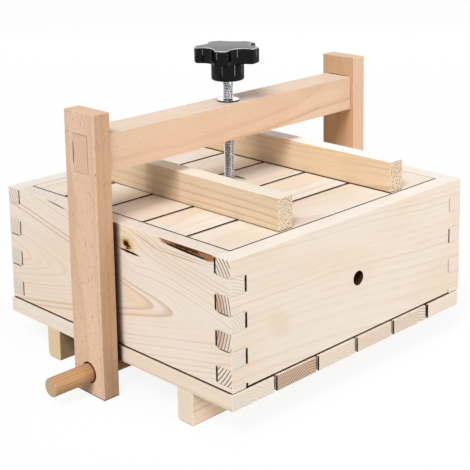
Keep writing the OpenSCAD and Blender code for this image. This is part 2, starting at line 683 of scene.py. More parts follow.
PINE = WoodFinish("pine", early=srgb(245, 230, 214), late=srgb(216, 184, 152),
                  warm=srgb(242, 221, 196), end=srgb(240, 224, 200),
                  end_late=srgb(84, 48, 28), heart=srgb(206, 166, 132))
LID_PINE = WoodFinish("lid_pine", early=srgb(241, 230, 217), late=srgb(216, 182, 148),
                      warm=srgb(237, 216, 192), end=srgb(216, 192, 162),
                      end_late=srgb(150, 108, 70), ring=4.0)
CLEAT_PINE = WoodFinish("cleat_pine", early=srgb(236, 214, 184),
                        late=srgb(208, 172, 130), warm=srgb(230, 204, 170),
                        end=srgb(230, 212, 186), end_late=srgb(176, 138, 100),
                        ring=2.6, wander=5.0, streak=0.34, heart=srgb(104, 64, 36))
BEECH = WoodFinish("beech", early=srgb(231, 195, 165), late=srgb(212, 168, 132),
                   warm=srgb(235, 203, 172), end=srgb(218, 186, 154),
                   end_late=srgb(186, 146, 108), ring=5.0, wander=5.0, streak=0.11,
                   fleck=0.75, fleck_tone=srgb(142, 78, 50))
DOWEL_WOOD = WoodFinish("dowel_wood", early=srgb(192, 152, 112),
                        late=srgb(160, 118, 78), warm=srgb(182, 138, 98),
                        end=srgb(244, 224, 188), end_late=srgb(190, 148, 104),
                        ring=2.2, wander=2.0, streak=0.2, fleck=0.3,
                        heart=srgb(140, 98, 62))


@dataclass(frozen=True)
class SeamFinish:
    """Near-black painted shade on the narrow groove where two boards don't quite close.
    """

    name: str = "open_seam"
    tone: Colour = srgb(7, 4, 3)
    pale: Colour = srgb(26, 15, 9)

    def dress(self) -> bpy.types.Material:
        """Make the painted shade of the open gap, a little uneven along its length.

        Returns:
            The material.
        """
        tree = ShaderTree.material(self.name)
        blot = tree.noise(tree.coordinates("Object"), 2.0, 0.6, 260.0)
        return tree.surface({
            "Base Color": tree.blend(tree.step(blot, 0.4, 0.7), self.tone, self.pale),
            "Roughness": 0.95 + (blot - 0.5) * 0.1, "Specular IOR Level": 0.0})


@dataclass(frozen=True)
class SteelFinish:
    """Zinc-plated steel, bright and a little clouded.

    rim is how dark its upright sides are painted, as round a flange that reflects the
    wood: a painted reflection. nook_dark is the tone it takes where it is hemmed in.
    """

    name: str = "zinc_steel"
    tone: Colour = srgb(232, 233, 234)
    shade: Colour = srgb(196, 198, 202)
    nook_dark: Colour = srgb(62, 62, 64)
    dark: Colour = srgb(12, 11, 10)
    rough: float = 0.28
    rim: float = 0.0

    def dress(self) -> bpy.types.Material:
        """Make the plated steel.

        Returns:
            The material.
        """
        tree = ShaderTree.material(self.name)
        where = tree.coordinates("Object")
        cloud = tree.noise(where, 3.0, 0.6, 420.0)
        grit = tree.noise(where, 2.0, 0.6, 4200.0)
        # Darker where the surface is hemmed in, within 1.2 mm.
        nook = tree.openness(1.2 * MM, 8)
        tone = tree.blend(tree.step(cloud, 0.35, 0.7), self.tone, self.shade)
        tone = tree.blend(1.0 - tree.step(nook, 0.3, 0.8), tone, self.nook_dark)
        # Painted reflection: the upright sides darkened by rim.
        if self.rim:
            up = tree.out(tree.apart(tree.coordinates("Normal")), Axis.Z.value)
            level = tree.step(tree.math("ABSOLUTE", up), 0.5, 0.9)
            tone = tree.blend((1.0 - level) * self.rim, tone, self.dark)
        return tree.surface({
            "Base Color": tone, "Metallic": 1.0,
            "Roughness": self.rough + (cloud - 0.5) * 0.2,
            "Normal": tree.bump(grit, 0.15, 0.05 * MM)})


@dataclass(frozen=True)
class PlasticFinish:
    """Glossy black moulded plastic, with the faint waves of its mould.

    Its top is painted mid grey, a painted sheen, and its upper edge pale, a painted
    highlight.
    """

    name: str = "black_plastic"
    tone: Colour = srgb(5, 5, 6)
    dust: Colour = srgb(34, 34, 35)
    top_sheen: Colour = srgb(146, 146, 146)
    lip_highlight: Colour = srgb(222, 222, 222)
    rough: float = 0.05

    def dress(self) -> bpy.types.Material:
        """Make the moulded plastic.

        Returns:
            The material.
        """
        tree = ShaderTree.material(self.name)
        where = tree.coordinates("Object")
        wave = tree.noise(where, 2.0, 0.5, 160.0)
        speck = tree.noise(where, 3.0, 0.7, 1500.0)
        up = tree.out(tree.apart(tree.coordinates("Normal")), Axis.Z.value)
        top = tree.step(up, 0.8, 0.98)
        # Painted light: a grey sheen on the top and a pale highlight on its upper edge.
        lip_highlight = tree.step(up, 0.55, 0.8) * (1.0 - tree.step(up, 0.95, 0.99))
        tone = tree.blend(tree.step(speck, 0.55, 0.8) * 0.15, self.tone, self.dust)
        tone = tree.blend(top * 0.8, tone, self.top_sheen)
        return tree.surface({
            "Base Color": tree.blend(lip_highlight * 0.7, tone, self.lip_highlight),
            "Roughness": self.rough + (wave - 0.5) * 0.05 + (speck - 0.5) * 0.03
            + top * 0.1,
            "Coat Weight": 0.33 - top * 0.23, "Coat Roughness": 0.06,
            "Specular IOR Level": 0.0, "Normal": tree.bump(wave, 0.12, 0.3 * MM)})


class Shop:
    """The bench work that every piece shares."""

    @staticmethod
    def copy_of(node: str) -> bmesh.types.BMesh:
        """A CAD solid's mesh as a few flat faces.

        Args:
            node: the solid's name.

        Returns:
            The merged copy.
        """
        work = bmesh.new()
        work.from_mesh(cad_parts[node].data)
        bmesh.ops.remove_doubles(work, verts=work.verts, dist=WELD)
        bmesh.ops.dissolve_limit(work, angle_limit=math.radians(0.5),
                                 verts=work.verts, edges=work.edges)
        return work

    @staticmethod
    def sharp(work: bmesh.types.BMesh, angle: float = 30.0) -> list:
        """The edges where two faces meet at more than an angle in degrees."""
        return [e for e in work.edges if len(e.link_faces) == 2
                and e.calc_face_angle(0.0) > math.radians(angle)]

    @staticmethod
    def ease(work: bmesh.types.BMesh, edges: Sequence, size: float,
             segments: int = 2) -> None:
        """Round some edges.

        Args:
            work: the mesh.
            edges: the edges to round.
            size: the rounding's width in metres.
            segments: how many facets it has.
        """
        bmesh.ops.bevel(work, geom=list(edges), offset=size, segments=segments,
                        profile=0.5, affect="EDGES", material=-1,
                        offset_type="OFFSET", clamp_overlap=True)

    @staticmethod
    def led_normals(work: bmesh.types.BMesh, angle: float) -> list[Vector]:
        """A normal for each face corner, led by the largest faces that blend there.

        Args:
            work: the mesh.
            angle: faces that turn by more than this, in degrees, don't blend.

        Returns:
            The normals, in the order of the mesh's face corners.
        """
        limit = math.cos(math.radians(angle))
        areas = {face: face.calc_area() for face in work.faces}
        return [sum((near.normal * areas[near] for near in corner.vert.link_faces
                     if near.normal.dot(face.normal) > limit), Vector()).normalized()
                for face in work.faces for corner in face.loops]

    @classmethod
    def stand(cls, work: bmesh.types.BMesh, name: str, body: Body, slot: str,
              replaced: Sequence[str], materials: Sequence[bpy.types.Material],
              angle: float = 50.0, led: bool = True) -> bpy.types.Object:
        """Turn a worked mesh into a finished piece of the press.

        Args:
            work: the mesh, freed here.
            name: the piece's name.
            body: what it moves with.
            slot: the record's material slot; not used.
            replaced: the CAD solids it stands for.
            materials: its materials.
            angle: the crease angle in degrees.
            led: True keeps its large flat faces flat beside rounded edges.

        Returns:
            The piece.
        """
        bmesh.ops.recalc_face_normals(work, faces=work.faces)
        work.faces.index_update()
        normals = cls.led_normals(work, angle) if led else []
        mesh = bpy.data.meshes.new(name)
        work.to_mesh(mesh)
        work.free()
        for material in materials:
            mesh.materials.append(material)
        mesh.polygons.foreach_set("use_smooth", [True] * len(mesh.polygons))
        mesh.set_sharp_from_angle(angle=math.radians(angle))
        if led:
            mesh.normals_split_custom_set(normals)
        made = bpy.data.objects.new(name, mesh)
        bpy.context.scene.collection.objects.link(made)
        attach(made, body.value)
        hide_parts(*replaced)
        LOG.info("%s: %d faces, rides on %s", name, len(mesh.polygons), body.value)
        return made

    @staticmethod
    def middle(node: str) -> Vector:
        """The middle of a CAD solid."""
        low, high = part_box(node)
        return (Vector(low) + Vector(high)) / 2


@dataclass
class Board:
    """One sawn and planed piece of wood, its edges eased with sandpaper.

    gaps names the widths of its open joints and picks the edges that become their
    dark grooves, painted near-black as the shade inside the gap.
    """

    node: str
    name: str
    body: Body
    slot: str
    finish: WoodFinish
    cut: Cut
    ease: float = 0.5 * MM
    shape: Callable[[bmesh.types.BMesh], None] | None = None
    gaps: tuple[tuple[float, Callable[[Vector, Vector], bool]], ...] = ()

    def build(self) -> bpy.types.Object:
        """Make the board over its CAD solid.

        Returns:
            The finished board.
        """
        work = Shop.copy_of(self.node)
        if self.shape:
            self.shape(work)
        edges = Shop.sharp(work)
        materials = [self.finish.dress(self.name + "_" + self.finish.name,
                                       Shop.middle(self.node), self.cut)]
        for width, picks in self.gaps:
            opened = [e for e in edges if picks(*(v.co for v in e.verts))
                      and not any(f.material_index for f in e.link_faces)]
            bmesh.ops.bevel(work, geom=opened, offset=width, segments=1, profile=0.5,
                            affect="EDGES", material=1, offset_type="OFFSET",
                            clamp_overlap=True)
            edges = [e for e in Shop.sharp(work)
                     if not any(f.material_index for f in e.link_faces)]
        if self.gaps:
            materials.append(SeamFinish().dress())
        Shop.ease(work, edges, self.ease)
        return Shop.stand(work, self.name, self.body, self.slot, (self.node,),
                          materials)


def flat(axis: Axis, value: float) -> Callable[[Vector, Vector], bool]:
    """A test for an edge that lies in a plane.

    Args:
        axis: the direction that the plane faces.
        value: where it stands along it, in metres.

    Returns:
        The test, which takes the edge's two ends.
    """
    return lambda a, b: abs(a[axis.value] - value) < NEAR > abs(b[axis.value] - value)


@dataclass
class MouldBox:
    """The four finger-jointed walls, their joints standing a little open.

    finger is the height of a finger in millimetres. shoulder is how wide the slits
    beside the fingers are, in millimetres, on the walls along X and along Y; the slits
    are painted shade on the flat faces, with no gap cut. foot is the width of the dark
    line under the box there, a groove painted near-black as the shade where the box
    meets the floor. Of the slits at the front wall's far end only one stands open, at
    the level that open_finger counts from the top, and shut_depth is how dark the
    others are painted.
    """

    ease: float = 0.35 * MM
    thick: float = 13.0 * MM
    finger: float = 12.3
    fingers: int = 7
    shoulder: tuple[float, float] = (1.9, 1.6)
    foot: tuple[float, float] = (1.4 * MM, 1.1 * MM)
    open_finger: int = 3
    shut_depth: float = 0.35

    def gaps(self, node: str) -> tuple:
        """The groove along a wall's foot, painted near-black as the shade where it
        meets the floor.

        Args:
            node: the wall's solid.

        Returns:
            Its width and the test for its edge.
        """
        low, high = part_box(node)
        side = Axis.X if node in ("wall_left", "wall_right") else Axis.Y
        outer = low if node in ("wall_left", "wall_front") else high
        on_face, on_foot = flat(side, outer[side.value]), flat(Axis.Z, low[2])
        return ((self.foot[1 - side.value], lambda a, b: on_face(a, b)
                 and on_foot(a, b)),)

    def open_joints(self, node: str, first: int) -> tuple[Mark, ...]:
        """The painted shade of the open slits beside the other wall's fingers, and of
        the fine ones below.

        Args:
            node: the wall's solid.
            first: its uppermost finger that the other wall has, counted from 0.

        Returns:
            The marks.
        """
        low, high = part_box(node)
        grain = Axis.Y if first == 0 else Axis.X
        half = (high[grain.value] - low[grain.value]) / 2 / MM
        rise = (high[2] - low[2]) / 2 / MM
        width = self.shoulder[grain.value]
        marks = []
        # Each slit is painted shade on the flat face, standing for an open joint's dark
        # gap.
        for i in range(first, self.fingers + 1, 2):
            upper = rise - i * self.finger
            lower = max(upper - self.finger, -rise)
            for side in (-1, 1):
                shut = first == side == 1 and i != self.open_finger
                marks.append(Mark(side * (half - self.thick / MM - width / 2),
                                  (upper + lower) / 2, width / 2,
                                  (upper - lower) / 2 - 0.1, 0.0, srgb(16, 9, 6),
                                  self.shut_depth if shut else 1.0, ragged=0.3,
                                  firm=0.8, square=True))
                if first == 0 and 0 < i < self.fingers - 1:
                    marks.append(Mark(side * (half - self.thick / MM / 2),
                                      lower - 0.3, self.thick / MM * 0.45, 0.55, 0.0,
                                      srgb(64, 36, 22), 0.9, ragged=0.6, square=True))
        return tuple(marks)

    def build(self) -> None:
        """Make the walls."""
        line = srgb(176, 138, 88)
        knot = (Mark(-20.5, 31.5, 10.5, 7.0, 0.1, srgb(222, 196, 132), 0.75, 2.0),
                Mark(-20.5, 32.0, 5.6, 4.2, 0.2, srgb(176, 122, 62), 0.9, ragged=1.4),
                Mark(-20.3, 31.7, 4.3, 3.0, 0.5, srgb(52, 24, 10), ragged=2.2),
                Mark(-22.6, 27.0, 13.0, 1.1, 0.05, srgb(22, 10, 5), ragged=0.5))
        bark = (Mark(-84.0, 43.3, 31.0, 3.0, 0.028, srgb(158, 102, 56), 0.95,
                     ragged=0.4, firm=0.85),
                Mark(-80.0, 41.5, 28.5, 1.1, 0.05, srgb(40, 18, 8), ragged=0.5),
                Mark(-80.0, 43.6, 16.0, 1.3, 0.03, srgb(62, 26, 10), ragged=1.3),
                Mark(-92.0, 44.7, 17.0, 0.6, -0.01, srgb(84, 42, 18), 0.95,
                     ragged=0.7))
        lines = (Mark(-40.0, 39.1, 17.0, 0.7, 0.274, line, 0.8, ragged=0.25, firm=0.1),
                 Mark(-76.0, 36.1, 40.0, 0.7, 0.0, line, 0.75, ragged=0.25, firm=0.1),
                 Mark(-78.0, 38.1, 40.0, 0.6, 0.0, line, 0.6, ragged=0.25, firm=0.1))
        resin = Mark(60.0, 43.2, 14.0, 0.6, 0.13, srgb(70, 48, 34), 0.85, ragged=0.6)
        patches = (Mark(-92.0, -4.0, 30.0, 16.0, 0.0, srgb(244, 229, 213), 0.7,
                        ragged=0.5, firm=0.3),
                   Mark(-30.0, -7.0, 24.0, 9.0, 0.12, srgb(242, 208, 172), 0.5,
                        ragged=0.6, firm=0.1))
        overlays = (*knot, *bark, *lines, resin, *patches)
        # Painted shade: the drain hole's wall and a thin ring round it painted dark
        # brown.
        bore = Mark(2.0, -1.6, 5.45, 5.45, 0.0, srgb(74, 48, 34), ragged=0.0,
                    firm=0.97, through=True)
        glow = Mark(-80.5, -10.0, 17.0, 14.0, -0.4, srgb(238, 211, 180), 0.55,
                    ragged=0.7, firm=0.2)
        # Painted light: the tops of the rims toned paler and plainer, the left wall's
        # darker.
        rim_light = FaceTone(Axis.Z, 1, (0.97, 1.03, 1.09), 0.7)
        left_rim_light = FaceTone(Axis.Z, 1, (0.88, 0.9, 0.93), 0.7)
        cuts = {
            "wall_front": Cut(Axis.X, Axis.Y, (-62.0, 30.0), 0.05, 1.0, contrast=0.36,
                              end=EndGrain(1.0, (4.0, 50.0), 2.6, 56.0),
                              marks=(bore, glow, *self.open_joints("wall_front", 1)),
                              faces=(rim_light,)),
            "wall_back": Cut(Axis.X, Axis.Y, (20.0, -60.0), -0.04, 2.0, contrast=0.5,
                             marks=self.open_joints("wall_back", 1),
                             faces=(rim_light,)),
            "wall_left": Cut(Axis.Y, Axis.X, (-5.6, -12.8), -0.2, 3.0, 1.0, 0.64, 3.3,
                             3.0, 1.7, EndGrain(0.25), (
                                 *overlays, *self.open_joints("wall_left", 0)),
                             (left_rim_light,), True, (23.2, 26.6)),
            "wall_right": Cut(Axis.Y, Axis.X, (16.0, -45.0), 0.05, 4.0, contrast=0.5,
                              end=EndGrain(0.15), marks=self.open_joints(
                                  "wall_right", 0), faces=(rim_light,),
                              sheltered=True)}
        for node, cut in cuts.items():
            Board(node, node.replace("wall", "box_wall"), Body.BOX, "mould_box", PINE,
                  cut, self.ease, gaps=self.gaps(node)).build()


@dataclass
class SlatFloor:
    """The six slats under the box and the two battens that carry them.

    end_depths is how dark each slat's sawn end is. batten_tones are for the front side
    of the front and the rear batten, and batten_ends for their left ends: painted light
    and shade, the rear batten's darker as in the shade under the floor. gap is the
    width of the grooves at the slats' ends, painted near-black as the shade between
    slats.
    """

    slats: int = 6
    ease: float = 0.3 * MM
    batten_round: float = 3.0 * MM
    gap: float = 0.7 * MM
    end_depths: tuple[float, ...] = (0.15, 0.85, 0.2, 0.4, 0.5, 0.15)
    batten_tones: tuple[Triple, ...] = ((1.2, 1.07, 0.92), (0.5, 0.38, 0.26))
    batten_ends: tuple[Triple, ...] = ((1.05, 1.01, 0.9), (0.98, 0.85, 0.6))

    def round_end(self, work: bmesh.types.BMesh) -> None:
        """Round a batten's lower back edge, where it was planed off.

        Args:
            work: the batten's mesh.
        """
        low = min(v.co.z for v in work.verts)
        back = max(v.co.y for v in work.verts)
        edges = [e for e in work.edges if all(abs(v.co.z - low) < NEAR
                                              and abs(v.co.y - back) < NEAR
                                              for v in e.verts)]
        Shop.ease(work, edges, self.batten_round, 4)

    def build(self) -> None:
        """Make the slats and the battens."""
        for i in range(1, self.slats + 1):
            low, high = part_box(f"floor_slat_{i}")
            sides = [flat(Axis.X, x) for n, x in ((i - 1, low[0]), (self.slats - i,
                                                                    high[0])) if n]
            ends = [flat(Axis.Y, y) for y in (low[1], high[1])]
            Board(f"floor_slat_{i}", f"floor_board_{i}", Body.BASE, "floor", PINE,
                  Cut(Axis.Y, Axis.Z, (8.0 * (-1) ** i + 3 * i, -16.0 - 6 * i), 0.02,
                      10.0 + i, tint=1.0 - 0.012 * (i % 3), contrast=0.5,
                      end=EndGrain(self.end_depths[i - 1], heart=64.0 if i == 2 else 0,
                                   dots=0.15),
                      faces=(FaceTone(Axis.Y, -1, (0.99, 0.955, 0.905)),)
                      if 2 < i < self.slats else (), sheltered=i in (1, self.slats)),
                  self.ease, gaps=((self.gap, lambda a, b: any(
                      s(a, b) for s in sides) and any(e(a, b) for e in ends)),)).build()
        for i, node in enumerate(("batten_front", "batten_rear")):
            Board(node, node.replace("batten", "floor_batten"), Body.BASE, "floor",
                  LID_PINE, Cut(Axis.X, Axis.Y, (30.0, -28.0 - 20 * i), 0.01,
                                20.0 + i, contrast=0.6, end=EndGrain(0.3),
                                faces=(FaceTone(Axis.Y, -1, self.batten_tones[i]),
                                       FaceTone(Axis.X, -1, self.batten_ends[i]))),
                  0.7 * MM, self.round_end).build()


@dataclass
class SlatLid:
    """The lid's five slats and the two cleats that hold them together.

    gap is the width of the dark line between two slats and border of the one round the
    lid: grooves painted near-black as the shade in the gaps. cleat_sides and
    cleat_tops are the tones of the left and the right cleat, painted light and shade:
    the tops paler, the left cleat's side darker.
    """

    slats: int = 5
    ease: float = 0.3 * MM
    gap: float = 0.6 * MM
    border: float = 0.3 * MM
    middle_slat: int = 3
    cleat_sides: tuple[Triple, ...] = ((0.86, 0.85, 0.84), (1.0, 0.98, 0.96))
    cleat_tops: tuple[Triple, ...] = ((1.06, 1.2, 1.44), (1.12, 1.42, 1.9))

    def build(self) -> None:
        """Make the slats and the cleats."""
        # A dark reddish streak beside the rod's foot, and a near-black disc where it
        # stands.
        rod_foot_marks = (Mark(12.2, 7.0, 2.2, 9.5, 0.0, srgb(66, 26, 18), 0.95, ragged=1.5),
               Mark(-2.5, 2.0, 5.9, 5.9, 0.0, srgb(24, 14, 9), ragged=0.3, firm=0.85))
        foot = (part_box("cleat_right")[0][0] - Shop.middle("lid_slat_1").x) / MM
        shadow = Mark(foot - 0.5, 0.0, 0.9, 30.0, 0.0, srgb(22, 13, 8), ragged=0.5,
                      square=True)
        for i in range(1, self.slats + 1):
            low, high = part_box(f"lid_slat_{i}")
            on_top = flat(Axis.Z, high[2])
            sides = [flat(Axis.Y, y) for n, y in ((i - 1, low[1]), (self.slats - i,
                                                                    high[1])) if n]
            Board(f"lid_slat_{i}", f"lid_board_{i}", Body.LID, "lid", LID_PINE,
                  Cut(Axis.X, Axis.Z, (14.0 * (-1) ** i, -30.0 - 9 * i), 0.04,
                      30.0 + i, tint=1.0 - 0.015 * (i % 2), contrast=0.4,
                      marks=(shadow, *rod_foot_marks) if i == self.middle_slat else (shadow,)),
                  self.ease, gaps=((self.gap, lambda a, b: on_top(a, b) and any(
                      s(a, b) for s in sides)), (self.border, on_top))).build()
        for i, side in enumerate(("left", "right")):
            Board(f"cleat_{side}", f"lid_cleat_{side}", Body.LID, "lid", CLEAT_PINE,
                  Cut(Axis.Y, Axis.X, (24.0 - 40 * i, -42.0), 0.02, 40.0 + i,
                      contrast=0.7, end=EndGrain(0.35, dots=0.8),
                      faces=(FaceTone(Axis.Z, 1, self.cleat_tops[i], 0.5 + 0.3 * i),
                             FaceTone(Axis.X, -1, self.cleat_sides[i]))),
                  0.6 * MM).build()


@dataclass
class PressFrame:
    """The two uprights and the crossbar with its threaded insert."""

    ease: float = 0.8 * MM
    calm_finish: WoodFinish = replace(BEECH, fleck=0.25, streak=0.24)
    shady_sides: tuple[FaceTone, ...] = (FaceTone(Axis.Y, -1, (0.8, 0.74, 0.66)),
                                         FaceTone(Axis.X, -1, (0.8, 0.73, 0.62)))

    def build(self) -> None:
        """Make the wooden parts of the frame."""
        chip = Mark(61.5, -1.2, 2.6, 1.4, 0.2, srgb(34, 16, 8), ragged=1.0)
        # Painted shade: the dark gap beside the tenon on the crossbar's end.
        tenon_side = Mark(7.5, -0.25, 0.6, 9.4, 0.0, srgb(40, 22, 12), ragged=1.1,
                          on_end=True)
        for i, side in enumerate(("left", "right")):
            bore = Shop.middle("dowel") - Shop.middle(f"upright_{side}")
            # Painted shade in the dowel's hole and in a thin ring round it.
            hole_shade = Mark(bore.z / MM, bore.y / MM, 7.8, 7.8, 0.0, srgb(38, 20, 12), 0.95,
                        ragged=0.2, firm=0.88)
            low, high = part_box(f"upright_{side}")
            # Painted shadow: a dark line round the upright's foot, where it stands.
            foot = Mark((low[2] - high[2]) / 2 / MM + 0.3, 0.0, 1.0, 30.0, 0.0,
                        srgb(44, 24, 15), 0.9, ragged=0.6, firm=0.4, through=True,
                        square=True)
            Board(f"upright_{side}", f"press_upright_{side}", Body.BASE, "frame",
                  self.calm_finish if i else BEECH,
                  Cut(Axis.Z, Axis.X, (12.0 - 30 * i, -60.0), 0.015, 50.0 + i,
                      contrast=0.5, marks=(foot, hole_shade) if i else (foot, hole_shade, chip),
                      faces=(self.shady_sides[i],)),
                  self.ease).build()
        # Its top is painted paler, as painted light.
        Board("crossbar", "press_crossbar", Body.BASE, "frame", self.calm_finish,
              Cut(Axis.X, Axis.Y, (10.0, -55.0), 0.012, 55.0, contrast=0.75, ring=3.4,
                  end=EndGrain(0.5), marks=(tenon_side,), faces=(
                      FaceTone(Axis.Z, 1, (1.05, 1.2, 1.38)),)),
              self.ease).build()


@dataclass
class Insert:
    """The flanged threaded insert in the top of the crossbar."""

    node: str = "threaded_insert"
    flange_edge: float = 0.35 * MM
    # Its flange's upright sides are painted near-black, a painted reflection.
    finish: SteelFinish = SteelFinish("insert_steel", rim=0.95)

    def build(self) -> bpy.types.Object:
        """Make the insert, with its flange's edge rounded.

        Returns:
            The piece.
        """
        low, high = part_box(self.node)
        middle = Shop.middle(self.node)
        work = Shop.copy_of(self.node)
        rim = [e for e in Shop.sharp(work, 50.0)
               if (e.verts[0].co.xy - middle.xy).length > (high[0] - low[0]) * 0.45]
        Shop.ease(work, rim, self.flange_edge, 3)
        return Shop.stand(work, "flanged_insert", Body.BASE, "insert", (self.node,),
                          (self.finish.dress(),))


@dataclass
class Rod:
    """The threaded rod, its thread cut as a true helix."""

    node: str = "screw_rod"
    radius: float = 4.0 * MM
    root: float = 3.35 * MM
    pitch: float = 1.25 * MM
    steps: int = 24
    chamfer: float = 0.8 * MM
    finish: SteelFinish = SteelFinish()

    def build(self) -> bpy.types.Object:
        """Cut the thread and trim the rod to its length.

        Returns:
            The rod.
        """
        low, high = (Vector(c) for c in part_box(self.node))
        axis = Shop.middle(self.node)
        turns = math.ceil((high.z - low.z) / self.pitch) + 2
        work = bmesh.new()
        start = low.z - self.pitch
        flank = ((self.root, 0.0), (self.radius, 0.42), (self.radius, 0.58),
                 (self.root, 1.0))
        rising = [work.verts.new((axis.x + r, axis.y, start + share * self.pitch))
                  for r, share in flank]
        edges = [work.edges.new(pair) for pair in zip(rising, rising[1:])]
        bmesh.ops.spin(work, geom=rising + edges, cent=(axis.x, axis.y, 0),
                       axis=(0, 0, 1), dvec=(0, 0, self.pitch / self.steps),
                       angle=math.tau * turns, steps=self.steps * turns)
        bmesh.ops.remove_doubles(work, verts=work.verts, dist=WELD * 2)
        for height, upper in ((low.z, False), (high.z, True)):
            bmesh.ops.bisect_plane(
                work, geom=work.verts[:] + work.edges[:] + work.faces[:],
                plane_co=(0, 0, height), plane_no=(0, 0, 1),
                clear_outer=upper, clear_inner=not upper)
            rim = [e for e in work.edges if e.is_boundary
                   and abs(e.verts[0].co.z - height) < NEAR]
            bmesh.ops.holes_fill(work, edges=rim, sides=0)
        for vert in work.verts:
            over = self.chamfer - min(vert.co.z - low.z, high.z - vert.co.z)
            if over > 0:
                out = vert.co.xy - axis.xy
                if out.length > self.radius - over:
                    out *= (self.radius - over) / out.length
                    vert.co.xy = axis.xy + out
        return Shop.stand(work, "threaded_rod", Body.SCREW, "rod", (self.node,),
                          (self.finish.dress(),), 40.0, False)


